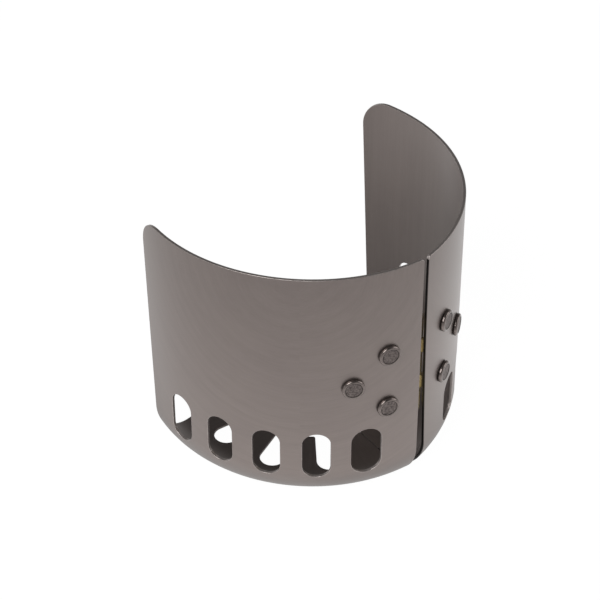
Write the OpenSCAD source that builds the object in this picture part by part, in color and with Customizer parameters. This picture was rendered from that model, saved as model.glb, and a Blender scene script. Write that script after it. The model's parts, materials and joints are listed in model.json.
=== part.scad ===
// Folding stove windscreen: two curved sheet panels joined by a riveted butt hinge.
// Millimetres. Z is up, the hinge is at the front (-Y) and the left panel is on -X.
// Degrees along a panel are counted from the hinge line towards its free end.

/* [Panels] */
// Outer radius of both walls
panel_r = 58; // [54:0.5:66]
// Thickness of the sheet
sheet_t = 1; // [0.8:0.1:1.3]
// Height of the panels
panel_h = 93; // [86:1:115]
// Degrees of wall on each panel, at its foot
panel_arc = 97.3; // [94:0.1:101]
// Outer radius of the bend between wall and flange
corner_r = 16.5; // [13:0.5:18]
// Degrees that the free ends lean outwards
free_lean = 2.4; // [0.4:0.2:4]
// Radius of the rim corner at the free ends
rim_corner_r = 10; // [5:0.5:14]
// Radius of the rim corner beside the gap
gap_corner_r = 1.2; // [0.6:0.1:2]
// Degrees folded inwards from one common circle
fold = 14.5; // [10:0.5:18]
// Half of the gap between the walls on the common circle
half_gap = 0.6; // [0.4:0.1:1]
// Gap left between the two flanges at the finger tips
flange_gap = 0.7; // [0.4:0.1:1.2]

/* [Air slots] */
// Slots in each wall
slot_count = 5; // [3:1:5]
// Width of a slot
slot_w = 9; // [6:0.5:11]
// Extra width of the slot beside the hinge
slot_extra = 1; // [0:0.5:2]
// Height of a slot
slot_h = 18.3; // [14:0.1:19]
// Height of the slots above the panel's own underside
slot_z = 13.4; // [12:0.1:15]
// Degrees from the wall's edge at the hinge to the first slot
slot_first = 18.1; // [16:0.1:19]
// Degrees between slots
slot_pitch = 16; // [14:0.2:17]

/* [Flange fingers] */
// Radius of the circle that the finger tips lie on
tip_r = 25; // [22:0.5:30]
// Notches in each flange
notch_count = 3; // [2:1:3]
// Degrees from the hinge edge to the first notch
notch_first = 26.5; // [22:0.5:28]
// Degrees between notches
notch_pitch = 29.5; // [26:0.5:30]
// Half of the angle between a notch's sides
notch_half = 6.5; // [4:0.5:8]
// Radius at which the notches end
notch_end_r = 41.5; // [38:0.5:44]
// Degrees that the last finger reaches past the wall's foot
end_reach = 10; // [6:0.5:12]
// Radius at which the narrow first finger of the right flange is cut off
blunt_r = 29; // [28:0.5:32]

/* [Hinge] */
// Length of the row of knuckles
hinge_h = 36; // [33:1:42]
// Height of the middle of the hinge
hinge_z = 50; // [50:1:60]
// Diameter of the pin
pin_d = 2.5; // [2:0.1:2.8]
// Radius of a knuckle
knuckle_r = 2.3; // [2.1:0.1:2.6]
// Thickness of a leaf
leaf_t = 1; // [0.8:0.1:1.2]
// Running gap round the pin
run_gap = 0.05; // [0.03:0.01:0.08]
// Axial gap between knuckles
knuckle_gap = 0.3; // [0.3:0.05:0.5]
// Gap between the knuckles and the walls
barrel_gap = 0.4; // [0.35:0.05:0.6]
// Gap from a leaf's edge to the other leaf's knuckles
leaf_edge_gap = 0.5; // [0.4:0.1:1]
// Height of a pin head
pin_head_h = 1.1; // [0.8:0.1:1.6]

/* [Rivets] */
// Distance along the wall from the hinge line to the two near rivets
rivet_near = 12.2; // [11:0.2:13]
// Distance along the wall from the hinge line to the far rivet
rivet_far = 23.8; // [22:0.2:26]
// Width of leaf left round the middle of a rivet
leaf_margin = 7; // [6:0.5:8]
// Diameter of a rivet's shank
shank_d = 4; // [3:0.2:4.4]
// Diameter of a rivet's outer head
head_d = 7.4; // [7:0.2:9]
// Height of a rivet's outer head
head_h = 1.3; // [1.2:0.1:2]
// Radius of the outer head's rounded shoulder
head_round = 0.7; // [0.4:0.1:1]
// Diameter of the formed head inside
formed_d = 6.4; // [5.4:0.2:7]
// Height of the formed head inside
formed_h = 1; // [0.7:0.1:1.4]
// Gap left round a shank in its holes
hole_gap = 0.05; // [0.03:0.01:0.1]
// Gap left between pieces that are riveted together
seat_gap = 0.02; // [0.01:0.01:0.04]

/* [Hidden] */
$fn = 96;

// Radii of the sheet and the plates lying on it
wall_in = panel_r - sheet_t;
flat_r = panel_r - corner_r;
leaf_out = wall_in - seat_gap;
leaf_in = leaf_out - leaf_t;
pin_r = wall_in - barrel_gap - knuckle_r;

// How far a corner's circle reaches past the edges that it rounds
blend = 0.03;

// Angles in degrees from the hinge line
edge_deg = asin(half_gap / panel_r);
near_deg = rivet_near / panel_r * 180 / PI;
far_deg = rivet_far / panel_r * 180 / PI;
foot_deg = edge_deg + panel_arc;

// The furthest point of the leaned free end, out from its foot
lean_z = panel_h - rim_corner_r;
lean_out = rim_corner_r - (rim_corner_r - lean_z * sin(free_lean)) / cos(free_lean);

// The hinge line is placed so that the bounding box is centred on the origin
front_y = -panel_r * cos(fold / 2 + edge_deg);
back_deg = fold / 2 + foot_deg;
back_y = -panel_r * cos(back_deg) + lean_out * sin(back_deg);
hinge_y = -(front_y + back_y) / 2 - pin_r * cos(fold / 2);

// Knuckles from the bottom up: left, right, left, right, left
knuckle_count = 5;
knuckle_l = (hinge_h - knuckle_gap * (knuckle_count - 1)) / knuckle_count;
left_knuckles = [0, 2, 4];
right_knuckles = [1, 3];
hinge_bottom = hinge_z - hinge_h / 2;
function knuckle_z(k) = hinge_bottom + k * (knuckle_l + knuckle_gap);

// Leaf outline: a plate a little shorter than the knuckles, with rounded lobes round the rivets
plate_inset = 0.5;
plate_top = hinge_h / 2 - plate_inset;
rivet_row = plate_top - leaf_margin;
leaf_edge = knuckle_r + leaf_edge_gap;
lobe_s = leaf_out * sin(far_deg - near_deg);
lobe_l = sqrt(lobe_s * lobe_s + rivet_row * rivet_row);
lobe_ns = (leaf_margin - blend) * rivet_row / lobe_l;
lobe_nz = (leaf_margin - blend) * lobe_s / lobe_l;
plate_edge = plate_top - blend;
leaf_s = leaf_out * sin(near_deg) - leaf_edge;
tab_l = leaf_edge - 0.3 * knuckle_r;

upper_place = [near_deg, hinge_z + rivet_row];
lower_place = [near_deg, hinge_z - rivet_row];
outer_place = [far_deg, hinge_z];

sheet_color = [0.46, 0.45, 0.43];
hinge_color = [0.42, 0.39, 0.31];
rivet_color = [0.36, 0.36, 0.36];

// Frame of the left panel: its own centre, with the hinge line towards -Y
module left_side()
    translate([0, hinge_y, 0])
        rotate(-fold / 2)
            translate([0, pin_r, 0])
                children();

module right_side()
    mirror([1, 0, 0])
        left_side()
            children();

// X points out through the wall and +Y towards the hinge
module at_angle(degrees)
    rotate(-90 - degrees)
        children();

// Outline drawn as distance along the wall and height, cut through the wall
module radial_cut()
    translate([wall_in - 8, 0, 0])
        rotate([90, 0, 90])
            linear_extrude(height = sheet_t + 14)
                children();

module panel_section() {
    translate([wall_in, corner_r])
        square([sheet_t, panel_h - corner_r - sheet_t / 2]);
    translate([wall_in + sheet_t / 2, panel_h - sheet_t / 2])
        circle(d = sheet_t);
    intersection() {
        translate([flat_r, corner_r])
            difference() {
                circle(r = corner_r);
                circle(r = corner_r - sheet_t);
            }
        translate([flat_r, 0])
            square(corner_r);
    }
    translate([tip_r + sheet_t / 2, 0])
        square([flat_r - tip_r - sheet_t / 2, sheet_t]);
    translate([tip_r + sheet_t / 2, sheet_t / 2])
        circle(d = sheet_t);
}

// Leaned cut along the wall's free end, slanting out to the last finger below
module free_end_cut() {
    finger_x = notch_end_r * cos(end_reach);
    finger_y = notch_end_r * sin(end_reach);
    start_x = wall_in - 1.5;
    past_x = start_x - 1.4 * (start_x - finger_x);
    rotate([free_lean, 0, 0])
        translate([0, 0, -20])
            linear_extrude(height = panel_h + 40)
                polygon([
                    [start_x, 0], [past_x, -1.4 * finger_y], [past_x, -40],
                    [panel_r + 20, -40], [panel_r + 20, 0]
                ]);
}

module free_corner_cut() {
    mid_z = panel_h - rim_corner_r + blend;
    mid_y = (rim_corner_r - blend - mid_z * sin(free_lean)) / cos(free_lean);
    reach = rim_corner_r + 4;
    radial_cut()
        difference() {
            polygon([
                [mid_y, mid_z],
                [mid_y - reach * cos(free_lean), mid_z - reach * sin(free_lean)],
                [mid_y - 2 * reach, panel_h + 4],
                [mid_y, panel_h + 4]
            ]);
            translate([mid_y, mid_z])
                circle(r = rim_corner_r);
        }
}

module gap_corner_cut()
    radial_cut()
        translate([blend - gap_corner_r, panel_h + blend - gap_corner_r])
            difference() {
                square(gap_corner_r + 3);
                circle(r = gap_corner_r);
            }

module slot(width)
    radial_cut()
        translate([0, slot_z]) {
            translate([-width / 2, width / 2])
                square([width, slot_h - width]);
            translate([0, width / 2])
                circle(d = width);
            translate([0, slot_h - width / 2])
                circle(d = width);
        }

// Notch with radial sides and a round end
module notch() {
    mid = notch_end_r / (1 + sin(notch_half));
    side_x = mid * cos(notch_half) * cos(notch_half);
    side_y = mid * cos(notch_half) * sin(notch_half);
    translate([0, 0, -1])
        linear_extrude(height = sheet_t + 3) {
            polygon([[0, 0], [side_x, -side_y], [side_x, side_y]]);
            translate([mid, 0])
                circle(r = mid * sin(notch_half));
        }
}

module panel()
    difference() {
        rotate(-90 - foot_deg - end_reach)
            rotate_extrude(angle = panel_arc + end_reach)
                panel_section();
        at_angle(foot_deg) {
            free_end_cut();
            free_corner_cut();
        }
        at_angle(edge_deg)
            gap_corner_cut();
        for (k = [0 : slot_count - 1])
            at_angle(edge_deg + slot_first + k * slot_pitch)
                slot(k == 0 ? slot_w + slot_extra : slot_w);
        for (k = [0 : notch_count - 1])
            at_angle(edge_deg + notch_first + k * notch_pitch)
                notch();
    }

// The right flange is cut back along the left one's edge as it lies when folded,
// and the finger left beside it ends blunt
module hinge_relief() {
    reach = pin_r - tip_r;
    near = [half_gap * sin(fold), half_gap * cos(fold)];
    spare = flange_gap - half_gap;
    tip = [spare * sin(fold) - reach * cos(fold), spare * cos(fold) + reach * sin(fold)];
    along = tip - near;
    start = near - 0.15 * along;
    end = tip + 0.3 * along;
    notch_deg = edge_deg + notch_first;
    at_angle(0) {
        translate([pin_r, 0, -1])
            linear_extrude(height = corner_r)
                polygon([
                    [start[0], -start[1]], [end[0], -end[1]],
                    [end[0], 8], [start[0], 8]
                ]);
        translate([0, 0, -1])
            linear_extrude(height = sheet_t + 2)
                intersection() {
                    circle(r = blunt_r);
                    polygon([
                        [0, 0], [panel_r * cos(notch_deg), -panel_r * sin(notch_deg)],
                        [panel_r, 8], [0, 8]
                    ]);
                }
    }
}

module rivet_holes()
    for (place = [upper_place, lower_place, outer_place])
        at_angle(place[0])
            translate([wall_in - 8, 0, place[1]])
                rotate([0, 90, 0])
                    cylinder(d = shank_d + 2 * hole_gap, h = 16);

module left_panel()
    color(sheet_color)
        left_side()
            difference() {
                panel();
                rivet_holes();
            }

module right_panel()
    color(sheet_color)
        right_side()
            difference() {
                panel();
                hinge_relief();
                rivet_holes();
            }

// Round button with a rounded shoulder, standing on a short foot below zero
module button(diameter, height, shoulder, foot)
    rotate_extrude() {
        translate([0, -foot])
            square([diameter / 2, height + foot - shoulder]);
        translate([0, height - shoulder - 0.1])
            square([diameter / 2 - shoulder, shoulder + 0.1]);
        translate([diameter / 2 - shoulder, height - shoulder])
            intersection() {
                circle(r = shoulder);
                translate([0, -0.05])
                    square(shoulder + 0.05);
            }
    }

// A rivet: outer head hollowed to the wall, shank, and a head formed against the leaf
module rivet(place)
    color(rivet_color)
        at_angle(place[0]) {
            difference() {
                translate([panel_r, 0, place[1]])
                    rotate([0, 90, 0])
                        button(head_d, head_h, head_round, 0.5);
                translate([0, 0, place[1] - head_d])
                    cylinder(r = panel_r + seat_gap, h = 2 * head_d);
            }
            translate([leaf_in - formed_h / 2, 0, place[1]])
                rotate([0, 90, 0])
                    cylinder(d = shank_d, h = panel_r + head_h / 2 - leaf_in + formed_h / 2);
            intersection() {
                translate([leaf_in - seat_gap, 0, place[1]])
                    rotate([0, -90, 0])
                        button(formed_d, formed_h, formed_h / 2, 0.5);
                translate([0, 0, place[1] - head_d])
                    cylinder(r = leaf_in - seat_gap, h = 2 * head_d);
            }
        }

module left_upper_rivet() left_side() rivet(upper_place);
module left_lower_rivet() left_side() rivet(lower_place);
module left_outer_rivet() left_side() rivet(outer_place);
module right_upper_rivet() right_side() rivet(upper_place);
module right_lower_rivet() right_side() rivet(lower_place);
module right_outer_rivet() right_side() rivet(outer_place);

module leaf_shell()
    translate([0, 0, hinge_bottom - 1])
        difference() {
            cylinder(r = leaf_out, h = hinge_h + 2);
            translate([0, 0, -1])
                cylinder(r = leaf_in, h = hinge_h + 4);
        }

// Seen along the near rivets: tabs to the knuckles, then rounded round the three rivets
module leaf_outline(knuckles)
    at_angle(near_deg)
        translate([leaf_in - 6, 0, hinge_z])
            rotate([90, 0, 90])
                linear_extrude(height = 14) {
                    polygon([
                        [leaf_s, -plate_edge], [leaf_s, plate_edge], [0, plate_edge],
                        [-lobe_ns, rivet_row + lobe_nz], [-lobe_s - lobe_ns, lobe_nz],
                        [-lobe_s - lobe_ns, -lobe_nz], [-lobe_ns, -rivet_row - lobe_nz], [0, -plate_edge]
                    ]);
                    for (up = [-1, 1])
                        translate([0, up * rivet_row])
                            circle(r = leaf_margin);
                    translate([-lobe_s, 0])
                        circle(r = leaf_margin);
                    for (k = knuckles)
                        translate([leaf_s - 2, knuckle_z(k) - hinge_z + 2 * plate_inset])
                            square([tab_l + 2, knuckle_l - 4 * plate_inset]);
                }

module hinge_leaf(knuckles)
    color(hinge_color)
        difference() {
            union() {
                intersection() {
                    leaf_shell();
                    leaf_outline(knuckles);
                }
                for (k = knuckles)
                    at_angle(0)
                        translate([pin_r, 0, knuckle_z(k)])
                            cylinder(r = knuckle_r, h = knuckle_l);
            }
            at_angle(0)
                translate([pin_r, 0, hinge_bottom - 1])
                    cylinder(d = pin_d + 2 * run_gap, h = hinge_h + 2);
            rivet_holes();
        }

module left_hinge_leaf() left_side() hinge_leaf(left_knuckles);
module right_hinge_leaf() right_side() hinge_leaf(right_knuckles);

module hinge_pin()
    color(hinge_color)
        translate([0, hinge_y, hinge_z]) {
            cylinder(d = pin_d, h = hinge_h + 2 * knuckle_gap, center = true);
            for (up = [0, 1])
                mirror([0, 0, up])
                    translate([0, 0, hinge_h / 2 + knuckle_gap])
                        button(2 * knuckle_r - 0.2, pin_head_h, pin_head_h / 2, 0);
        }

left_panel();
right_panel();
left_upper_rivet();
left_lower_rivet();
left_outer_rivet();
right_upper_rivet();
right_lower_rivet();
right_outer_rivet();
left_hinge_leaf();
right_hinge_leaf();
hinge_pin();
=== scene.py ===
"""Folding stove windscreen, dressed around its CAD frame.

The two panels become sheet with rounded cut edges, and the rivets become pressed heads with a grained face.
The hinge leaves and the pin keep their shape and get a plated finish.
Sizes at the top are millimetres and degrees, as in the part's source; meshes are made in metres.
"""

import json
import math

import bpy
import numpy as np
from mathutils import Matrix, Vector
from mathutils.geometry import delaunay_2d_cdt


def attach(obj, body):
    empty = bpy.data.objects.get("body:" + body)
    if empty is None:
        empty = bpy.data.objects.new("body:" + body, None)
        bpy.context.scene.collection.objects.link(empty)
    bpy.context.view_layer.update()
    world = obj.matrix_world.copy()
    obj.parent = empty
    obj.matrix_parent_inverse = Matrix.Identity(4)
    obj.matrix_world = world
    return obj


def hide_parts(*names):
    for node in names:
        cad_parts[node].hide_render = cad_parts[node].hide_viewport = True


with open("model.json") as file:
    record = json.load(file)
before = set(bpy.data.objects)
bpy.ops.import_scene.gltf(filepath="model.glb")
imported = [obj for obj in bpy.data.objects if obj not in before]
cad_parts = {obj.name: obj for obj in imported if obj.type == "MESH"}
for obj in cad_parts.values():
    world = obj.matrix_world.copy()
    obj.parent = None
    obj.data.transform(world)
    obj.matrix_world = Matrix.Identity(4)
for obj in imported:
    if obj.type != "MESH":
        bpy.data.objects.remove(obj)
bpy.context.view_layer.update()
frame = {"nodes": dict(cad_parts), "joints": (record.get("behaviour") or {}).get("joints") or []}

MM = 0.001

# Panels
PANEL_R = 58.0
SHEET_T = 1.0
PANEL_H = 93.0
PANEL_ARC = 97.3
CORNER_R = 16.5
FREE_LEAN = math.radians(2.4)
SLANT_INSET = 1.5
RIM_CORNER_R = 10.0
GAP_CORNER_R = 1.2
FOLD = math.radians(14.5)
HALF_GAP = 0.6
FLANGE_SEAM = 0.15

# How far the right panel's edge at the hinge is drawn back, at its rim and at its foot
RIGHT_RIM_GAP = -0.4
RIGHT_FOOT_GAP = 2.2

# Air slots, counted from the hinge, each standing higher than the one before by the rise
SLOT_COUNT = 5
SLOT_W = 9.0
HINGE_SLOT_W = 10.0
SLOT_H = 18.3
SLOT_Z = 13.4
SLOT_FIRST = {"left": 18.1, "right": 19.1}
SLOT_PITCH = {"left": 16.0, "right": 15.15}
SLOT_RISE = {"left": 0.0, "right": 0.3}

# Flange fingers and the notches between them
TIP_R = 25.0
NOTCH_COUNT = 3
NOTCH_FIRST = 26.5
NOTCH_PITCH = 29.5
NOTCH_HALF = 6.5
NOTCH_END_R = 41.5
END_REACH = 10.0
BLUNT_R = 29.0
FINGER_CORNER_R = 0.8

# Hinge, with its pin at the frame's only joint
HINGE_Y = frame["joints"][0]["pos_m"][1] / MM
HINGE_Z = 50.0
PIN_R = 54.3
LEAF_T = 1.0

# Rivets: places along the wall and above the hinge's middle, then the shape of one
RIVET_NEAR = 12.2
RIVET_FAR = 23.8
RIVET_ROW = 10.5
SHANK_D = 4.0
HEAD_D = 7.4
HEAD_H = 1.3
HEAD_ROUND = 0.7
FACE_R = 2.75
FACE_DEPTH = 0.12
UNDERCUT = 0.3
FORMED_D = 6.4
FORMED_H = 1.0
HOLE_GAP = 0.05
SEAT_GAP = 0.02

# Worked out from the sizes above
WALL_MID = PANEL_R - SHEET_T / 2
WALL_IN = PANEL_R - SHEET_T
FLAT_R = PANEL_R - CORNER_R
BEND_MID = CORNER_R - SHEET_T / 2
FLANGE_LEN = FLAT_R - TIP_R
BEND_LEN = BEND_MID * math.pi / 2
WALL_LEN = PANEL_H - CORNER_R
RIM_RUN = FLANGE_LEN + BEND_LEN + WALL_LEN
SLANT_R = WALL_IN - SLANT_INSET
LEAF_IN = WALL_IN - SEAT_GAP - LEAF_T
EDGE_DEG = math.degrees(math.asin(HALF_GAP / PANEL_R))
FOOT_DEG = EDGE_DEG + PANEL_ARC
NEAR_DEG = math.degrees(RIVET_NEAR / PANEL_R)
FAR_DEG = math.degrees(RIVET_FAR / PANEL_R)
RIVET_PLACES = {
    "upper": (NEAR_DEG, HINGE_Z + RIVET_ROW),
    "lower": (NEAR_DEG, HINGE_Z - RIVET_ROW),
    "outer": (FAR_DEG, HINGE_Z),
}

# Fineness of the sheet: rounding of a cut edge and its steps, longest step along an outline, step of the
# grid between, the share of an outline step by which the grid keeps clear of the outline, and the step
# over which slopes are taken
EDGE_ROUND = 0.2
EDGE_STEPS = 3
OUTLINE_STEP = 0.7
GRID_STEP = 1.5
GRID_CLEAR = 0.55
SLOPE_STEP = 1e-3

# What the triangulation keeps, and how near two points have to be to count as one
INSIDE_OUTLINES = 1
SAME_POINT = 1e-7

# Points along the curves of the outlines
EDGE_POINTS = 160
FINGER_CORNER_POINTS = 8
NOTCH_END_POINTS = 31
FREE_CORNER_POINTS = 24
GAP_CORNER_POINTS = 9
SLOT_END_POINTS = 25
HOLE_POINTS = 24

# Steps round a rivet, rows on each of its curves, and the angle from which an edge shows as sharp
RIVET_STEPS = 72
FACE_ROWS = 9
SHOULDER_ROWS = 11
UNDERCUT_ROWS = 6
FORMED_ROUND_ROWS = 9
FORMED_FACE_ROWS = 6
SHARP_ANGLE = math.radians(40)

# Masks of a rivet: painted shade for the groove on the lip round its face, shoulder on its undercut
LIP_GROOVE_SHADE = 0.3
UNDERCUT_SHOULDER = 0.5

# Cut edges nearer the hinge line than this, counted along the wall, and below the rim, get painted shade
# for the narrow gap, and those nearer the finger tips than this are not worn bright and get no painted
# highlight
HINGE_EDGE = 6.0
RIM_EDGE = RIM_RUN - GAP_CORNER_R
FLANGE_EDGE = 30.0

# The brush that finished the outside turned round a point on the sheet: the point's arc and run, and the
# distance from it at which a mark is as long as the finish says
BRUSH_ARC = 40.0
BRUSH_RUN = 122.0
BRUSH_REACH = 60.0

# Shares of fine and coarse brush marks, and how much they change the sheet's shade and roughness
HAIRLINE_SHARE = 0.6
STREAK_SHARE = 0.4
SHEET_SHADE = (0.91, 1.08)
SHEET_ROUGHNESS_SWING = (-0.03, 0.03)

# Shade of the hinge's drawn lines, how dark the painted shade in a rivet's grooves is, and how much smoother
# its shoulder is
HINGE_SHADE = (0.93, 1.05)
GROOVE_SHADE_SHARE = 0.92
SHOULDER_POLISH = 0.34

# Ranges of noise that are spread out from 0 to 1, and the least wear between specks
HAIRLINE_RANGE = (0.3, 0.7)
STREAK_RANGE = (0.32, 0.68)
CLOUD_RANGE = (0.3, 0.7)
SPECK_RANGE = (0.3, 0.65)
LEAST_WEAR = 0.35

# Brightness of the studio's side walls and ceiling, and the share of it on the walls before and behind
WALL_LIGHT = 1.0
CEILING_LIGHT = 0.13
END_SHARE = 0.3

# Height of a direction over which the walls turn into the ceiling, and how much of it points to the front
# or the back where the side walls turn into the end walls
WALL_TO_CEILING = (0.1, 0.6)
SIDE_TO_END = (0.2, 0.8)

# Floor as reflections show it: bright round the object, dimmer with distance and most towards the front,
# in shade inside the screen
FLOOR_NEAR = 75.0
FLOOR_FAR = 250.0
FLOOR_LIGHT = 1.0
FLOOR_FAR_LIGHT = 0.56
FORWARD_SHARE = 0.3
SHADE_MIDDLE = (10.0, 45.0)
SHADE_REACH = (75.0, 100.0)
SHADE_IN = 0.65
SHADE_SHARE = 0.35

# Floor as the camera shows it: white of its own, the rest from the light that falls on it
FLOOR_GLOW = 0.97
FLOOR_LIT = 0.1

# Half the floor's side, and how far it lies below the object's foot
FLOOR_HALF = 6000.0
FLOOR_DROP = 0.2

# Lamps: heading and rise as seen from the object, and watts
LAMPS = {
    "front_softbox": (math.radians(-160), math.radians(40), 7.0),
    "right_softbox": (math.radians(-40), math.radians(25), 2.0),
}
LAMP_DISTANCE = 1200.0
LAMP_SIZE = 800.0

# Camera at the photograph's angle
CAMERA_AIM = (-2.085, 15.84, 46.5)
CAMERA_DISTANCE = 675.573
CAMERA_HEADING = math.radians(-132.9374)
CAMERA_RISE = math.radians(38.6687)
CAMERA_ROLL = math.radians(-0.1426)
CAMERA_LENS = 123.798
CAMERA_SENSOR = 36.0

# The studio's front, a fixed direction on the side of the camera's place above
STUDIO_FRONT = (math.cos(CAMERA_HEADING), math.sin(CAMERA_HEADING), 0.0)


# Colours

def srgb(red, green, blue):
    """A colour written as 0 to 255 screen values, as the linear colour that shaders take."""
    linear = []
    for part in (red, green, blue):
        c = part / 255
        linear.append(c / 12.92 if c <= 0.04045 else ((c + 0.055) / 1.055) ** 2.4)
    return (*linear, 1.0)


SHEET_GREY = srgb(137, 126, 122)
SHEET_PALE = srgb(144, 133, 128)
# Bare metal of worn cut edges, also a painted highlight where edges catch light
SHEET_BARE_AND_HIGHLIGHT = srgb(214, 205, 201)
# Painted shade: near black for cut edges in the narrow hinge gap
GAP_SHADE_BLACK = srgb(30, 24, 23)
RIVET_DARK = srgb(54, 47, 45)
RIVET_PALE = srgb(150, 139, 135)
RIVET_BARE = srgb(134, 124, 120)
# Painted shade: near black in a rivet's groove, undercut and seats
GROOVE_SHADE_BLACK = srgb(26, 22, 21)
OLIVE_PLATE = srgb(208, 192, 150)
OLIVE_PALE = srgb(222, 206, 164)
WHITE = (1.0, 1.0, 1.0, 1.0)
FLOOR_PALE = (0.82, 0.82, 0.82, 1.0)


# Places on a panel

def to_left_side(points):
    """From a panel's own centre, hinge towards -Y, to the left half's place in the frame."""
    moved = points + np.array([0.0, PIN_R, 0.0])
    c, s = math.cos(-FOLD / 2), math.sin(-FOLD / 2)
    x, y = moved[:, 0], moved[:, 1]
    turned = np.column_stack([c * x - s * y, s * x + c * y, moved[:, 2]])
    return turned + np.array([0.0, HINGE_Y, 0.0])


def to_side(points, side, as_directions=False):
    """The same for either half, the right one mirrored, and for directions as well as points."""
    placed = to_left_side(points)
    if as_directions:
        placed = placed - to_left_side(np.zeros((1, 3)))
    return placed * np.array([-1.0, 1.0, 1.0]) if side == "right" else placed


def section(run):
    """Radius and height of the sheet's middle, at a distance run along its section from the finger tips."""
    turn = np.clip((run - FLANGE_LEN) / BEND_MID, 0, math.pi / 2)
    radius = TIP_R + np.minimum(run, FLANGE_LEN) + BEND_MID * np.sin(turn)
    height = CORNER_R - BEND_MID * np.cos(turn) + np.maximum(run - FLANGE_LEN - BEND_LEN, 0)
    return radius, height


def run_at_height(height):
    """Distance along the section at which the wall or bend has this height."""
    turn = np.arccos(np.clip((CORNER_R - height) / BEND_MID, 0, 1))
    return FLANGE_LEN + BEND_MID * turn + np.maximum(height - CORNER_R, 0)


def panel_surface(arc, run):
    """Middle of the panel's sheet: arc is counted on the wall, from the hinge line towards the free end."""
    radius, height = section(run)
    angle = arc / WALL_MID
    return np.column_stack([-radius * np.sin(angle), -radius * np.cos(angle), height])


def arc_at(degrees):
    """Arc on the wall at an angle from the hinge line."""
    return np.radians(degrees) * WALL_MID


def on_wall(degrees, towards_hinge, height):
    """An outline drawn square to the wall at one place, as arc and run."""
    run = run_at_height(np.asarray(height, float))
    radius, _ = section(run)
    turn = np.arcsin(np.asarray(towards_hinge, float) / radius)
    return np.column_stack([arc_at(degrees) - turn * WALL_MID, run])


def line_degrees(radius, start, direction):
    """Degrees, clockwise from the first axis, at which a straight cut crosses the circle of this radius."""
    a = direction @ direction
    b = start @ direction
    c = start @ start - radius ** 2
    along = (-b - np.sqrt(np.maximum(b * b - a * c, 0))) / a
    crossing = start + np.outer(along, direction)
    return np.degrees(np.arctan2(-crossing[:, 1], crossing[:, 0]))


def free_end(run):
    """Degrees of the free end: leaned along the wall, slanting out to the last finger below."""
    radius, height = section(run)
    lean = height * math.tan(FREE_LEAN)
    reach = math.radians(END_REACH)
    finger = np.array([NOTCH_END_R * math.cos(reach), -NOTCH_END_R * math.sin(reach)])
    degrees = np.degrees(np.arcsin(lean / radius))
    for i in np.flatnonzero(radius < SLANT_R):
        start = np.array([SLANT_R, -lean[i]])
        degrees[i] = line_degrees(radius[i], start, np.array([finger[0] - SLANT_R, finger[1]]))[0]
    return FOOT_DEG + np.minimum(degrees, END_REACH)


def gap_edge(run, relieved):
    """Degrees of the edge at the hinge.

    The relieved panel's edge draws back a little towards its foot, and its flange is cut back along the
    other one as it lies folded, a seam apart.
    """
    degrees = np.full(len(run), EDGE_DEG)
    if relieved:
        radius, height = section(run)
        down = (1 - height / PANEL_H) ** 2
        degrees += np.degrees((RIGHT_RIM_GAP + (RIGHT_FOOT_GAP - RIGHT_RIM_GAP) * down) / WALL_MID)
        across = np.array([math.sin(FOLD), -math.cos(FOLD)])
        hinge = np.array([PIN_R, 0.0])
        inward = np.array([-math.cos(FOLD), -math.sin(FOLD)])
        near = hinge + (FLANGE_SEAM - HALF_GAP * PIN_R / PANEL_R) * across
        tip = hinge + (PIN_R - TIP_R) * inward + (FLANGE_SEAM - HALF_GAP * TIP_R / PANEL_R) * across
        degrees = np.maximum(degrees, line_degrees(radius, near, tip - near))
    return degrees


# Outlines

def spaced(points, step):
    """The same outline with no step longer than step."""
    closed = np.vstack([points, points[:1]])
    pieces = []
    for a, b in zip(closed[:-1], closed[1:]):
        count = max(1, math.ceil(np.linalg.norm(b - a) / step))
        pieces.append(a + np.outer(np.arange(count) / count, b - a))
    return np.vstack(pieces)


def arc_points(centre, radius_x, radius_y, first, last, count):
    turn = np.radians(np.linspace(first, last, count))
    return np.column_stack([centre[0] + radius_x * np.cos(turn), centre[1] + radius_y * np.sin(turn)])


def soft_corner(start, corner, end):
    """A corner of any angle, rounded from start to end."""
    share = np.linspace(0, 1, FINGER_CORNER_POINTS)[:, None]
    start, corner, end = np.array(start), np.array(corner), np.array(end)
    return (1 - share) ** 2 * start + 2 * share * (1 - share) * corner + share ** 2 * end


def finger_tip(start, end, start_above, end_above, run):
    """One finger's tip at this run, with rounded corners, from the side nearer the hinge to the other."""
    wide = FINGER_CORNER_R * WALL_MID / (TIP_R + run)
    return np.vstack([
        soft_corner((start_above, run + FINGER_CORNER_R), (start, run), (start + wide, run)),
        soft_corner((end - wide, run), (end, run), (end_above, run + FINGER_CORNER_R)),
    ])


def first_tip_run(relieved):
    """Run at which the finger by the hinge ends, which is cut off blunt on the relieved panel."""
    return BLUNT_R - TIP_R if relieved else 0.0


def notch_end(middle):
    """The round end of a notch, between the ends of its straight sides."""
    mid = NOTCH_END_R / (1 + math.sin(math.radians(NOTCH_HALF)))
    end_r = mid * math.sin(math.radians(NOTCH_HALF))
    turn = np.radians(np.linspace(-90 - NOTCH_HALF, 90 + NOTCH_HALF, NOTCH_END_POINTS))
    x, y = mid + end_r * np.cos(turn), end_r * np.sin(turn)
    return np.column_stack([arc_at(middle) + np.arctan2(y, x) * WALL_MID, np.hypot(x, y) - TIP_R])


def finger_tips(relieved):
    """The flange's inner edge from the hinge to the free end, with its notches."""
    run = first_tip_run(relieved)
    start_above, start = arc_at(gap_edge(np.array([run + FINGER_CORNER_R, run]), relieved))
    points = []
    for k in range(NOTCH_COUNT):
        middle = EDGE_DEG + NOTCH_FIRST + k * NOTCH_PITCH
        near, far = arc_at(middle - NOTCH_HALF), arc_at(middle + NOTCH_HALF)
        points.append(finger_tip(start, near, start_above, near, run))
        points.append(notch_end(middle))
        start, start_above, run = far, far, 0.0
    end = arc_at(FOOT_DEG + END_REACH)
    points.append(finger_tip(start, end, start, end, run))
    return np.vstack(points)


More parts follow.
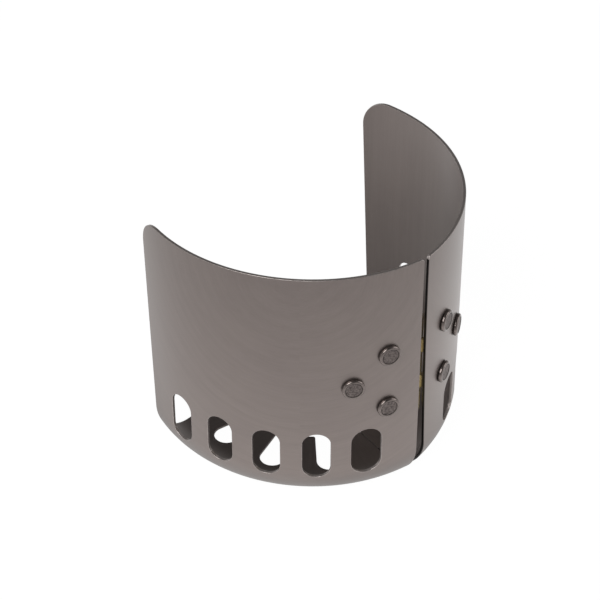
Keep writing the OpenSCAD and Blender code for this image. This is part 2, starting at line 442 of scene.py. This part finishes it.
def panel_outline(relieved):
    """Anticlockwise round the sheet: finger tips, free end, rim, edge at the hinge."""
    up = np.linspace(FINGER_CORNER_R, RIM_RUN, EDGE_POINTS)
    centre_z = PANEL_H - RIM_CORNER_R
    centre_y = (RIM_CORNER_R - centre_z * math.sin(FREE_LEAN)) / math.cos(FREE_LEAN)
    free_corner = arc_points(
        (centre_y, centre_z), -RIM_CORNER_R, RIM_CORNER_R,
        -math.degrees(FREE_LEAN), 90, FREE_CORNER_POINTS)
    gap_corner = arc_points(
        (-GAP_CORNER_R, PANEL_H - GAP_CORNER_R), GAP_CORNER_R, GAP_CORNER_R, 90, 0, GAP_CORNER_POINTS)
    rim_run = up[-1:]
    free_run = up[1:][up[1:] < run_at_height(free_corner[0, 1]) - OUTLINE_STEP / 2]
    below = up < run_at_height(PANEL_H - GAP_CORNER_R) - OUTLINE_STEP / 2
    above = up > first_tip_run(relieved) + FINGER_CORNER_R + OUTLINE_STEP / 2
    gap_run = up[below & above][::-1]
    return np.vstack([
        finger_tips(relieved),
        np.column_stack([arc_at(free_end(free_run)), free_run]),
        on_wall(FOOT_DEG, free_corner[:, 0], free_corner[:, 1]),
        on_wall(gap_edge(rim_run, relieved)[0], gap_corner[:, 0], gap_corner[:, 1]),
        np.column_stack([arc_at(gap_edge(gap_run, relieved)), gap_run]),
    ])


def slot_outline(side, k):
    """Round one air slot."""
    width = HINGE_SLOT_W if k == 0 else SLOT_W
    foot = SLOT_Z + k * SLOT_RISE[side]
    lower, upper = foot + width / 2, foot + SLOT_H - width / 2
    drawn = np.vstack([
        arc_points((0, upper), width / 2, width / 2, 0, 180, SLOT_END_POINTS),
        arc_points((0, lower), width / 2, width / 2, 180, 360, SLOT_END_POINTS),
    ])
    return on_wall(EDGE_DEG + SLOT_FIRST[side] + k * SLOT_PITCH[side], drawn[:, 0], drawn[:, 1])


def rivet_hole(degrees, height):
    radius = SHANK_D / 2 + HOLE_GAP
    drawn = arc_points((0, height), radius, radius, 0, 360, HOLE_POINTS + 1)[:-1]
    return on_wall(degrees, drawn[:, 0], drawn[:, 1])


# Sheet with a rounded cut edge

def signed_area(loop):
    x, y = loop[:, 0], loop[:, 1]
    return 0.5 * np.sum(x * np.roll(y, -1) - y * np.roll(x, -1))


def inside(points, loops):
    """Even-odd test of points against all the loops together."""
    odd = np.zeros(len(points), bool)
    for loop in loops:
        for a, b in zip(loop, np.roll(loop, -1, axis=0)):
            crosses = (a[1] > points[:, 1]) != (b[1] > points[:, 1])
            if crosses.any():
                x = a[0] + (points[:, 1] - a[1]) * (b[0] - a[0]) / (b[1] - a[1])
                odd ^= crosses & (points[:, 0] < x)
    return odd


def sheet_frame(flat):
    """Directions along arc and run, and the outward normal, at flat points of the panel."""
    h = SLOPE_STEP
    arc, run = flat[:, 0], flat[:, 1]
    along_arc = (panel_surface(arc + h, run) - panel_surface(arc - h, run)) / (2 * h)
    along_run = (panel_surface(arc, run + h) - panel_surface(arc, run - h)) / (2 * h)
    normal = np.cross(along_run, along_arc)
    return along_arc, along_run, normal / np.linalg.norm(normal, axis=1, keepdims=True)


def shaped_loops(loops):
    """The outline anticlockwise and the holes clockwise, with no long steps."""
    shaped = []
    for i, loop in enumerate(loops):
        anticlockwise = signed_area(loop) > 0
        shaped.append(spaced(loop if anticlockwise == (i == 0) else loop[::-1], OUTLINE_STEP))
    return shaped


def cut_edge(loop):
    """Along a cut edge: the sheet's middle, the way into the sheet, the normal, and the loop drawn in."""
    along_arc, along_run, normal = sheet_frame(loop)
    middle = panel_surface(loop[:, 0], loop[:, 1])
    tangent = np.roll(middle, -1, axis=0) - np.roll(middle, 1, axis=0)
    inward = np.cross(tangent, normal)
    inward /= np.linalg.norm(inward, axis=1, keepdims=True)
    arc_step = np.sum(inward * along_arc, axis=1) / np.sum(along_arc ** 2, axis=1)
    run_step = np.sum(inward * along_run, axis=1) / np.sum(along_run ** 2, axis=1)
    return middle, inward, normal, loop + EDGE_ROUND * np.column_stack([arc_step, run_step])


def edge_section():
    """Points across a cut edge, outer face to inner: distance in from it, height, turn of the normal."""
    upper = []
    for turn in np.linspace(0, math.pi / 2, EDGE_STEPS + 1):
        inset = EDGE_ROUND - EDGE_ROUND * math.sin(turn)
        height = SHEET_T / 2 - EDGE_ROUND + EDGE_ROUND * math.cos(turn)
        upper.append((inset, height, turn))
    lower = [(inset, -height, math.pi - turn) for inset, height, turn in reversed(upper)]
    return upper + lower


def filled(loops):
    """Flat points and triangles of a sheet's face between its drawn-in loops, the loops' points first."""
    edge_flat = np.vstack(loops)
    low, high = edge_flat.min(0), edge_flat.max(0)
    grid = np.stack(np.meshgrid(
        np.arange(low[0] + GRID_STEP / 2, high[0], GRID_STEP),
        np.arange(low[1] + GRID_STEP / 2, high[1], GRID_STEP),
    ), axis=-1).reshape(-1, 2)
    grid = grid[inside(grid, loops)]
    nearest = np.array([np.min(np.sum((edge_flat - point) ** 2, axis=1)) for point in grid])
    clear = nearest > (GRID_CLEAR * OUTLINE_STEP) ** 2
    flat = np.vstack([edge_flat, grid[clear]])
    edges, first = [], 0
    for loop in loops:
        n = len(loop)
        edges += [(first + i, first + (i + 1) % n) for i in range(n)]
        first += n
    cut = delaunay_2d_cdt([Vector(point) for point in flat], edges, [], INSIDE_OUTLINES, SAME_POINT)
    cut_flat = np.array([tuple(point) for point in cut[0]])
    if len(cut_flat) != len(flat):
        raise RuntimeError("an outline of the sheet crosses itself")
    triangles = np.array(cut[2])
    return cut_flat, triangles[inside(cut_flat[triangles].mean(axis=1), loops)]


def sheet_mesh(loops):
    """A panel's sheet cut to loops: vertices, normals, faces, flat coordinates and cut-edge mask."""
    shaped = shaped_loops(loops)
    cuts = [cut_edge(loop) for loop in shaped]
    flat, triangles = filled([drawn_in for _, _, _, drawn_in in cuts])
    _, _, normal = sheet_frame(flat)
    middle = panel_surface(flat[:, 0], flat[:, 1])
    half = SHEET_T / 2
    count = len(flat)
    verts = [middle + half * normal, middle - half * normal]
    normals = [normal, -normal]
    faces = [tuple(t) for t in triangles] + [tuple(t + count) for t in triangles]
    coords = [np.column_stack([flat, np.full(count, face_side)]) for face_side in (1.0, -1.0)]
    edge_mask = [np.zeros(2 * count)]
    base, first = 2 * count, 0
    for loop, (edge_middle, inward, out, _) in zip(shaped, cuts):
        n = len(loop)
        rings = [first + np.arange(n)]
        for inset, height, turn in edge_section()[1:-1]:
            verts.append(edge_middle + inset * inward + height * out)
            normals.append(math.cos(turn) * out - math.sin(turn) * inward)
            coords.append(np.column_stack([loop, np.full(n, math.copysign(1.0, height))]))
            edge_mask.append(np.full(n, math.sin(turn)))
            rings.append(base + np.arange(n))
            base += n
        rings.append(count + first + np.arange(n))
        for a, b in zip(rings[:-1], rings[1:]):
            for i in range(n):
                j = (i + 1) % n
                faces.append((a[i], a[j], b[j], b[i]))
        first += n
    return np.vstack(verts), np.vstack(normals), faces, np.vstack(coords), np.concatenate(edge_mask)


def turned_outwards(faces, verts, normals):
    """Faces, each with its corners in the order that makes it look the way its normals do."""
    facing = []
    for face in faces:
        a, b, c = (verts[face[k]] for k in (0, 1, 2))
        flipped = np.dot(np.cross(b - a, c - a), normals[list(face)].sum(axis=0)) < 0
        facing.append(face[::-1] if flipped else face)
    return facing


def link_piece(name, verts, faces, material, masks):
    """A smooth piece in the scene, with masks kept for its finish."""
    mesh = bpy.data.meshes.new(name)
    corners = [tuple(int(i) for i in face) for face in faces]
    mesh.from_pydata([tuple(point * MM) for point in verts], [], corners)
    mesh.polygons.foreach_set("use_smooth", np.ones(len(faces), bool))
    for label, mask in masks.items():
        store = mesh.attributes.new(label, "FLOAT", "POINT")
        store.data.foreach_set("value", mask.astype(np.float32))
    mesh.materials.append(material)
    piece = bpy.data.objects.new(name, mesh)
    bpy.context.scene.collection.objects.link(piece)
    return piece


def make_panel(side, material):
    """One panel's sheet, with its true normals, and its flat coordinates kept for the finish."""
    loops = [panel_outline(side == "right")]
    loops += [slot_outline(side, k) for k in range(SLOT_COUNT)]
    loops += [rivet_hole(*place) for place in RIVET_PLACES.values()]
    verts, normals, faces, coords, edge_mask = sheet_mesh(loops)
    placed = to_side(verts, side)
    facing = to_side(normals, side, as_directions=True)
    outwards = turned_outwards(faces, placed, facing)
    piece = link_piece(f"{side}_sheet", placed, outwards, material, {"cut_edge": edge_mask})
    piece.data.normals_split_custom_set_from_vertices([tuple(normal) for normal in facing])
    store = piece.data.attributes.new("unrolled", "FLOAT_VECTOR", "POINT")
    store.data.foreach_set("vector", (coords * np.array([MM, MM, 1.0])).astype(np.float32).ravel())
    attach(piece, f"{side}_half")
    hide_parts(f"{side}_panel")


# Rivets

def rivet_section():
    """Rows from face to face: radius, height out from the panel's centre, seat radius, shoulder, groove
    shade.

    A row that lies on the curved sheet or leaf has a seat radius instead of a height.
    Shoulder is a mask for the finish; groove shade is a mask of painted shade in the groove round the face,
    under the undercut and at the seats.
    """
    rows = []
    top = PANEL_R + HEAD_H
    flat_r = HEAD_D / 2 - HEAD_ROUND
    side = HEAD_H - HEAD_ROUND
    for share in np.linspace(0, 1, FACE_ROWS):
        rows.append((FACE_R * share, top - FACE_DEPTH, None, 0.0, float(share == 1)))
    rows.append((FACE_R + FACE_DEPTH / 2, top - FACE_DEPTH / 4, None, 1.0, LIP_GROOVE_SHADE))
    for turn in np.linspace(0, math.pi / 2, SHOULDER_ROWS):
        radius = flat_r + HEAD_ROUND * math.sin(turn)
        height = top - HEAD_ROUND + HEAD_ROUND * math.cos(turn)
        rows.append((radius, height, None, 1.0, 0.0))
    for turn in np.linspace(0, math.pi / 2, UNDERCUT_ROWS)[1:-1]:
        radius = HEAD_D / 2 - UNDERCUT * (1 - math.cos(turn))
        height = top - HEAD_ROUND - side * math.sin(turn)
        rows.append((radius, height, None, UNDERCUT_SHOULDER, math.sin(turn)))
    rows.append((HEAD_D / 2 - UNDERCUT, None, PANEL_R + SEAT_GAP, 0.0, 1.0))
    rows.append((SHANK_D / 2, None, PANEL_R + SEAT_GAP, 0.0, 1.0))
    rows.append((SHANK_D / 2, None, LEAF_IN - SEAT_GAP, 0.0, 0.0))
    rows.append((FORMED_D / 2, None, LEAF_IN - SEAT_GAP, 1.0, 1.0))
    formed_round = FORMED_H / 2
    formed_top = LEAF_IN - SEAT_GAP - FORMED_H
    for turn in np.linspace(math.pi / 2, 0, FORMED_ROUND_ROWS):
        radius = FORMED_D / 2 - formed_round + formed_round * math.sin(turn)
        height = formed_top + formed_round - formed_round * math.cos(turn)
        rows.append((radius, height, None, 1.0, 0.0))
    for share in np.linspace(1, 0, FORMED_FACE_ROWS)[1:]:
        rows.append(((FORMED_D / 2 - formed_round) * share, formed_top, None, 0.0, 0.0))
    return rows


def make_rivet(side, place, material):
    """One rivet: its section turned round, smooth except at its square corners."""
    degrees, height = RIVET_PLACES[place]
    turn = np.linspace(0, 2 * math.pi, RIVET_STEPS, endpoint=False)
    angle = math.radians(-90 - degrees)
    c, s = math.cos(angle), math.sin(angle)
    verts, shoulders, groove_shades, rings = [], [], [], []
    for radius, out, seat, shoulder, groove_shade in rivet_section():
        t = turn[:1] if radius == 0 else turn
        y, z = radius * np.cos(t), radius * np.sin(t)
        x = np.full(len(t), out) if seat is None else np.sqrt(seat ** 2 - y ** 2)
        rings.append(len(shoulders) + np.arange(len(t)))
        shoulders += [shoulder] * len(t)
        groove_shades += [groove_shade] * len(t)
        verts.append(np.column_stack([x * c - y * s, x * s + y * c, z + height]))
    faces = []
    for a, b in zip(rings[:-1], rings[1:]):
        for i in range(RIVET_STEPS):
            j = (i + 1) % RIVET_STEPS
            corner = [a[i % len(a)], a[j % len(a)], b[j % len(b)], b[i % len(b)]]
            faces.append(tuple(dict.fromkeys(corner)))
    if side == "left":
        faces = [face[::-1] for face in faces]
    masks = {"shoulder": np.array(shoulders), "groove_shade": np.array(groove_shades)}
    placed = to_side(np.vstack(verts), side)
    piece = link_piece(f"{side}_{place}_pressed_rivet", placed, faces, material, masks)
    piece.data.set_sharp_from_angle(angle=SHARP_ANGLE)
    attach(piece, f"{side}_half")
    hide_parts(f"{side}_{place}_rivet")


# Shader node helpers

def add(tree, kind, **settings):
    """A node with its properties set, and its inputs set or linked.

    An input goes by its socket's name with _ for a space, or by i and the socket's number.
    """
    node = tree.nodes.new(kind)
    inputs = {}
    for name, value in settings.items():
        if hasattr(node, name):
            setattr(node, name, value)
        else:
            inputs[name] = value
    for name, value in inputs.items():
        set_input(tree, node, name, value)
    return node


def set_input(tree, node, name, value):
    key = int(name[1:]) if name[0] == "i" and name[1:].isdigit() else name.replace("_", " ")
    socket = node.inputs[key]
    if isinstance(value, bpy.types.NodeSocket):
        tree.links.new(value, socket)
    else:
        socket.default_value = value


def calc(tree, operation, first, second=0.0, clamp=False):
    return add(
        tree, "ShaderNodeMath", operation=operation, use_clamp=clamp, i0=first, i1=second).outputs[0]


def vector_calc(tree, operation, first, second=(0.0, 0.0, 0.0)):
    return add(tree, "ShaderNodeVectorMath", operation=operation, i0=first, i1=second).outputs


def noise(tree, place, scale, detail, roughness):
    return add(
        tree, "ShaderNodeTexNoise", Vector=place, Scale=scale, Detail=detail, Roughness=roughness).outputs[0]


def remap(tree, value, from_low, from_high, to_low, to_high):
    return add(
        tree, "ShaderNodeMapRange", i0=value, i1=from_low, i2=from_high, i3=to_low, i4=to_high).outputs[0]


def mixed(tree, factor, first, second, blend="MIX"):
    """A mix of two colours, which a Mix node takes at sockets 6 and 7."""
    return add(
        tree, "ShaderNodeMix", data_type="RGBA", blend_type=blend, clamp_factor=True,
        i0=factor, i6=first, i7=second).outputs[2]


def blend_value(tree, factor, first, second):
    """A mix of two values, which a Mix node takes at sockets 2 and 3."""
    return add(tree, "ShaderNodeMix", data_type="FLOAT", i0=factor, i2=first, i3=second).outputs[0]


def shaded(tree, color, shade):
    """A colour times a value."""
    grey = add(tree, "ShaderNodeCombineColor", i0=shade, i1=shade, i2=shade).outputs[0]
    return mixed(tree, 1.0, color, grey, "MULTIPLY")


def attribute(tree, label):
    return add(tree, "ShaderNodeAttribute", attribute_name=label).outputs


def new_group(name, inputs, outputs):
    group = bpy.data.node_groups.new(name, "ShaderNodeTree")
    for label, kind in inputs:
        group.interface.new_socket(label, in_out="INPUT", socket_type=kind)
    for label, kind in outputs:
        group.interface.new_socket(label, in_out="OUTPUT", socket_type=kind)
    start = group.nodes.new("NodeGroupInput")
    end = group.nodes.new("NodeGroupOutput")
    return group, start.outputs, end.inputs


def use_group(tree, group, **inputs):
    node = tree.nodes.new("ShaderNodeGroup")
    node.node_tree = group
    for name, value in inputs.items():
        set_input(tree, node, name, value)
    return node.outputs


# Effects that the finishes share

FLOAT, VECTOR, COLOR = "NodeSocketFloat", "NodeSocketVector", "NodeSocketColor"


def brushed_group():
    """Brush marks: noise drawn out along one direction, fine and coarse."""
    group, given, out = new_group(
        "brushed",
        [("Place", VECTOR), ("Fine", FLOAT), ("Length", FLOAT)],
        [("Hairline", FLOAT), ("Streak", FLOAT)])
    scale = add(group, "ShaderNodeCombineXYZ", X=given["Fine"], Y=given["Length"], Z=1.0).outputs[0]
    drawn = vector_calc(group, "MULTIPLY", given["Place"], scale)[0]
    fine = noise(group, drawn, scale=1.0, detail=3.0, roughness=0.65)
    coarse = noise(group, drawn, scale=0.16, detail=2.0, roughness=0.5)
    group.links.new(remap(group, fine, *HAIRLINE_RANGE, 0.0, 1.0), out["Hairline"])
    group.links.new(remap(group, coarse, *STREAK_RANGE, 0.0, 1.0), out["Streak"])
    return group


def tone_group():
    """Slow drift of a finish: a colour that wanders a little in tone, and a roughness with it."""
    group, given, out = new_group(
        "tone_drift",
        [("Place", VECTOR), ("Scale", FLOAT), ("Color", COLOR), ("Other", COLOR),
         ("Amount", FLOAT), ("Roughness", FLOAT), ("Spread", FLOAT)],
        [("Color", COLOR), ("Roughness", FLOAT)])
    cloud = noise(group, given["Place"], scale=given["Scale"], detail=4.0, roughness=0.55)
    cloud = remap(group, cloud, *CLOUD_RANGE, 0.0, 1.0)
    share = calc(group, "MULTIPLY", cloud, given["Amount"])
    group.links.new(mixed(group, share, given["Color"], given["Other"]), out["Color"])
    swing = calc(group, "MULTIPLY", calc(group, "SUBTRACT", cloud, 0.5), given["Spread"])
    group.links.new(calc(group, "ADD", given["Roughness"], swing), out["Roughness"])
    return group


def wear_group():
    """A colour worn through to bare metal where a mask says, broken up by fine noise."""
    group, given, out = new_group(
        "worn_edge",
        [("Place", VECTOR), ("Mask", FLOAT), ("Color", COLOR), ("Bare", COLOR), ("Amount", FLOAT)],
        [("Color", COLOR)])
    speck = noise(group, given["Place"], scale=900.0, detail=3.0, roughness=0.6)
    broken = calc(group, "MULTIPLY", given["Mask"], remap(group, speck, *SPECK_RANGE, LEAST_WEAR, 1.0))
    worn = calc(group, "MULTIPLY", broken, given["Amount"], clamp=True)
    group.links.new(mixed(group, worn, given["Color"], given["Bare"]), out["Color"])
    return group


# Finishes

def new_material(name):
    material = bpy.data.materials.new(name)
    material.use_nodes = True
    tree = material.node_tree
    return material, tree, tree.nodes["Principled BSDF"]


def set_bump(tree, shader, strength, distance, height):
    bump = add(tree, "ShaderNodeBump", Strength=strength, Distance=distance, Height=height)
    tree.links.new(bump.outputs[0], shader.inputs["Normal"])


def swept_place(tree, arc, run, face_side):
    """Place on the sheet as the turning brush met it: distance from its centre, and length of sweep."""
    across = calc(tree, "SUBTRACT", arc, BRUSH_ARC * MM)
    above = calc(tree, "SUBTRACT", run, BRUSH_RUN * MM)
    turn = calc(tree, "ARCTAN2", across, above)
    squares = calc(tree, "ADD", calc(tree, "POWER", across, 2.0), calc(tree, "POWER", above, 2.0))
    far = calc(tree, "POWER", squares, 0.5)
    sweep = calc(tree, "MULTIPLY", turn, BRUSH_REACH * MM)
    return add(tree, "ShaderNodeCombineXYZ", X=far, Y=sweep, Z=face_side).outputs[0]


def sheet_material(brushed, tone, wear):
    """Grey anodised sheet: circular brush marks outside, upright ones inside, cut edges worn bright with a
    painted highlight, those in the hinge gap in painted shade.
    """
    material, tree, shader = new_material("anodised_sheet")
    place = attribute(tree, "unrolled")["Vector"]
    apart = add(tree, "ShaderNodeSeparateXYZ", Vector=place).outputs
    arc, run, face_side = apart["X"], apart["Y"], apart["Z"]
    outside = calc(tree, "GREATER_THAN", face_side, 0.0)
    swept = swept_place(tree, arc, run, face_side)
    lines_out = use_group(tree, brushed, Place=swept, Fine=2600.0, Length=110.0)
    lines_in = use_group(tree, brushed, Place=place, Fine=2300.0, Length=45.0)
    hairline = blend_value(tree, outside, lines_in["Hairline"], lines_out["Hairline"])
    streak = blend_value(tree, outside, lines_in["Streak"], lines_out["Streak"])
    fine_marks = calc(tree, "MULTIPLY", hairline, HAIRLINE_SHARE)
    coarse_marks = calc(tree, "MULTIPLY", streak, STREAK_SHARE)
    marks = calc(tree, "ADD", fine_marks, coarse_marks)
    drift = use_group(
        tree, tone, Place=place, Scale=38.0, Color=SHEET_GREY, Other=SHEET_PALE,
        Amount=0.8, Roughness=0.4, Spread=0.05)
    brushed_color = shaded(tree, drift["Color"], remap(tree, marks, 0.0, 1.0, *SHEET_SHADE))
    edge = attribute(tree, "cut_edge")["Fac"]
    by_hinge = calc(tree, "LESS_THAN", arc, HINGE_EDGE * MM)
    below_rim = calc(tree, "LESS_THAN", run, RIM_EDGE * MM)
    in_gap = calc(tree, "MULTIPLY", by_hinge, below_rim)
    # Painted shade: cut edges in the hinge gap darkened to near black, as if in the gap's shadow
    gap_shade = calc(tree, "MULTIPLY", edge, in_gap)
    past_flange = calc(tree, "GREATER_THAN", run, FLANGE_EDGE * MM)
    reached = calc(tree, "MULTIPLY", past_flange, calc(tree, "SUBTRACT", 1.0, in_gap))
    # Cut edges lightened towards bare metal: partly wear, partly a painted highlight of edges catching light
    edge_wear_and_highlight = calc(tree, "MULTIPLY", edge, reached)
    gap_shaded_color = mixed(tree, gap_shade, brushed_color, GAP_SHADE_BLACK)
    worn = use_group(
        tree, wear, Place=place, Mask=edge_wear_and_highlight, Color=gap_shaded_color, Bare=SHEET_BARE_AND_HIGHLIGHT, Amount=0.95)
    tree.links.new(worn["Color"], shader.inputs["Base Color"])
    swing = remap(tree, marks, 0.0, 1.0, *SHEET_ROUGHNESS_SWING)
    tree.links.new(calc(tree, "ADD", drift["Roughness"], swing), shader.inputs["Roughness"])
    shader.inputs["Metallic"].default_value = 0.85
    shader.inputs["Coat Weight"].default_value = 0.5
    shader.inputs["Coat Roughness"].default_value = 0.3
    set_bump(tree, shader, strength=0.06, distance=0.00004, height=hairline)
    return material


def rivet_material(tone, wear):
    """Dark rivet: a coarse grained face let into a smooth, shiny shoulder, with painted shade black in its
    grooves and seats.
    """
    material, tree, shader = new_material("grained_rivet")
    place = add(tree, "ShaderNodeTexCoord").outputs["Object"]
    shoulder = attribute(tree, "shoulder")["Fac"]
    groove_shade = attribute(tree, "groove_shade")["Fac"]
    drift = use_group(
        tree, tone, Place=place, Scale=1900.0, Color=RIVET_DARK, Other=RIVET_PALE,
        Amount=1.0, Roughness=0.46, Spread=0.2)
    worn = use_group(
        tree, wear, Place=place, Mask=shoulder, Color=drift["Color"], Bare=RIVET_BARE, Amount=1.0)
    # Painted shade: the groove round the face, the undercut and the seats darkened to near black
    painted_shade = calc(tree, "MULTIPLY", groove_shade, GROOVE_SHADE_SHARE)
    tree.links.new(mixed(tree, painted_shade, worn["Color"], GROOVE_SHADE_BLACK), shader.inputs["Base Color"])
    polish = calc(tree, "MULTIPLY", shoulder, SHOULDER_POLISH)
    tree.links.new(calc(tree, "SUBTRACT", drift["Roughness"], polish), shader.inputs["Roughness"])
    shader.inputs["Metallic"].default_value = 0.9
    grain = noise(tree, place, scale=2200.0, detail=3.0, roughness=0.7)
    pits = calc(tree, "MULTIPLY", grain, calc(tree, "SUBTRACT", 1.0, shoulder))
    set_bump(tree, shader, strength=0.7, distance=0.0003, height=pits)
    return material


def hinge_material(brushed, tone):
    """Olive plated steel, satin, with fine drawn lines along the pin."""
    material, tree, shader = new_material("olive_plated_hinge")
    place = add(tree, "ShaderNodeTexCoord").outputs["Object"]
    lines = use_group(tree, brushed, Place=place, Fine=3000.0, Length=3000.0)
    drift = use_group(
        tree, tone, Place=place, Scale=120.0, Color=OLIVE_PLATE, Other=OLIVE_PALE,
        Amount=0.9, Roughness=0.36, Spread=0.12)
    drawn_color = shaded(tree, drift["Color"], remap(tree, lines["Hairline"], 0.0, 1.0, *HINGE_SHADE))
    tree.links.new(drawn_color, shader.inputs["Base Color"])
    tree.links.new(drift["Roughness"], shader.inputs["Roughness"])
    shader.inputs["Metallic"].default_value = 0.9
    set_bump(tree, shader, strength=0.08, distance=0.00005, height=lines["Hairline"])
    return material


# Floor, light and camera

def floor_brightness(tree):
    """Brightness of the floor in reflections: less with distance, and less inside the screen."""
    place = add(tree, "ShaderNodeNewGeometry").outputs["Position"]
    forward = vector_calc(tree, "DOT_PRODUCT", place, STUDIO_FRONT)["Value"]
    around = vector_calc(tree, "LENGTH", place)["Value"]
    away = calc(tree, "ADD", around, calc(tree, "MULTIPLY", forward, FORWARD_SHARE))
    falling = remap(tree, away, FLOOR_NEAR * MM, FLOOR_FAR * MM, FLOOR_LIGHT, FLOOR_FAR_LIGHT)
    middle = (SHADE_MIDDLE[0] * MM, SHADE_MIDDLE[1] * MM, 0.0)
    per_reach = (1 / (SHADE_REACH[0] * MM), 1 / (SHADE_REACH[1] * MM), 0.0)
    offset = vector_calc(tree, "SUBTRACT", place, middle)[0]
    offset = vector_calc(tree, "MULTIPLY", offset, per_reach)[0]
    out = vector_calc(tree, "LENGTH", offset)["Value"]
    shade = remap(tree, out, SHADE_IN, 1.0, SHADE_SHARE, 1.0)
    return calc(tree, "MULTIPLY", falling, shade)


def floor_material():
    """White to the camera with a faint shadow, and with its own light and shade in reflections."""
    material = bpy.data.materials.new("white_floor")
    material.use_nodes = True
    tree = material.node_tree
    tree.nodes.clear()
    path = add(tree, "ShaderNodeLightPath").outputs
    diffuse = add(tree, "ShaderNodeBsdfDiffuse", Color=FLOOR_PALE).outputs[0]
    shown = add(tree, "ShaderNodeEmission", Color=WHITE, Strength=floor_brightness(tree)).outputs[0]
    reflected = calc(tree, "MAXIMUM", path["Is Glossy Ray"], path["Is Transmission Ray"])
    unseen = add(tree, "ShaderNodeMixShader", i0=reflected, i1=diffuse, i2=shown).outputs[0]
    faint = add(tree, "ShaderNodeBsdfDiffuse", Color=(FLOOR_LIT, FLOOR_LIT, FLOOR_LIT, 1.0)).outputs[0]
    glow = add(tree, "ShaderNodeEmission", Color=WHITE, Strength=FLOOR_GLOW).outputs[0]
    seen = add(tree, "ShaderNodeAddShader", i0=faint, i1=glow).outputs[0]
    either = add(tree, "ShaderNodeMixShader", i0=path["Is Camera Ray"], i1=unseen, i2=seen).outputs[0]
    end = add(tree, "ShaderNodeOutputMaterial")
    tree.links.new(either, end.inputs["Surface"])
    return material


def make_floor():
    half, level = FLOOR_HALF * MM, -FLOOR_DROP * MM
    corners = [(-half, -half, level), (half, -half, level), (half, half, level), (-half, half, level)]
    mesh = bpy.data.meshes.new("floor")
    mesh.from_pydata(corners, [], [(0, 1, 2, 3)])
    mesh.materials.append(floor_material())
    floor = bpy.data.objects.new("floor", mesh)
    bpy.context.scene.collection.objects.link(floor)


def make_world():
    """Studio with a dim ceiling: white to the camera, bright at the sides, dimmer before and behind."""
    world = bpy.data.worlds.new("studio")
    world.use_nodes = True
    bpy.context.scene.world = world
    tree = world.node_tree
    tree.nodes.clear()
    direction = add(tree, "ShaderNodeTexCoord").outputs["Generated"]
    height = add(tree, "ShaderNodeSeparateXYZ", Vector=direction).outputs["Z"]
    walls = remap(tree, height, *WALL_TO_CEILING, WALL_LIGHT, CEILING_LIGHT)
    forward = vector_calc(tree, "DOT_PRODUCT", direction, STUDIO_FRONT)["Value"]
    ends = remap(tree, calc(tree, "ABSOLUTE", forward), *SIDE_TO_END, 1.0, END_SHARE)
    room = calc(tree, "MULTIPLY", walls, ends)
    path = add(tree, "ShaderNodeLightPath").outputs
    strength = calc(tree, "MAXIMUM", path["Is Camera Ray"], room)
    background = add(tree, "ShaderNodeBackground", Color=WHITE, Strength=strength).outputs[0]
    end = add(tree, "ShaderNodeOutputWorld")
    tree.links.new(background, end.inputs["Surface"])


def direction_to(heading, rise):
    return Vector((math.cos(heading) * math.cos(rise), math.sin(heading) * math.cos(rise), math.sin(rise)))


def make_lamp(name, heading, rise, power):
    """A soft square lamp aimed at the middle of the object."""
    lamp = bpy.data.lights.new(name, "AREA")
    lamp.shape = "SQUARE"
    lamp.size = LAMP_SIZE * MM
    lamp.energy = power
    holder = bpy.data.objects.new(name, lamp)
    away = direction_to(heading, rise)
    holder.location = Vector((0.0, 0.0, PANEL_H / 2 * MM)) + away * (LAMP_DISTANCE * MM)
    holder.rotation_euler = away.to_track_quat("Z", "Y").to_euler()
    bpy.context.scene.collection.objects.link(holder)


def make_camera():
    back = direction_to(CAMERA_HEADING, CAMERA_RISE)
    level = Vector((0, 0, 1)).cross(back).normalized()
    right = Matrix.Rotation(CAMERA_ROLL, 3, back) @ level
    up = back.cross(right)
    camera = bpy.data.cameras.new("camera")
    camera.lens = CAMERA_LENS
    camera.sensor_width = CAMERA_SENSOR
    holder = bpy.data.objects.new("camera", camera)
    place = Matrix((right, up, back)).transposed().to_4x4()
    place.translation = (Vector(CAMERA_AIM) + back * CAMERA_DISTANCE) * MM
    holder.matrix_world = place
    bpy.context.scene.collection.objects.link(holder)
    bpy.context.scene.camera = holder


# The scene

brushed = brushed_group()
tone = tone_group()
wear = wear_group()
sheet = sheet_material(brushed, tone, wear)
rivet = rivet_material(tone, wear)
hinge = hinge_material(brushed, tone)

for side in ("left", "right"):
    make_panel(side, sheet)
    for place in RIVET_PLACES:
        make_rivet(side, place, rivet)
for node in ("left_hinge_leaf", "right_hinge_leaf", "hinge_pin"):
    frame["nodes"][node].data.materials[0] = hinge

make_camera()
make_floor()
make_world()
for name, (heading, rise, power) in LAMPS.items():
    make_lamp(name, heading, rise, power)
bpy.context.scene.view_settings.view_transform = "Standard"
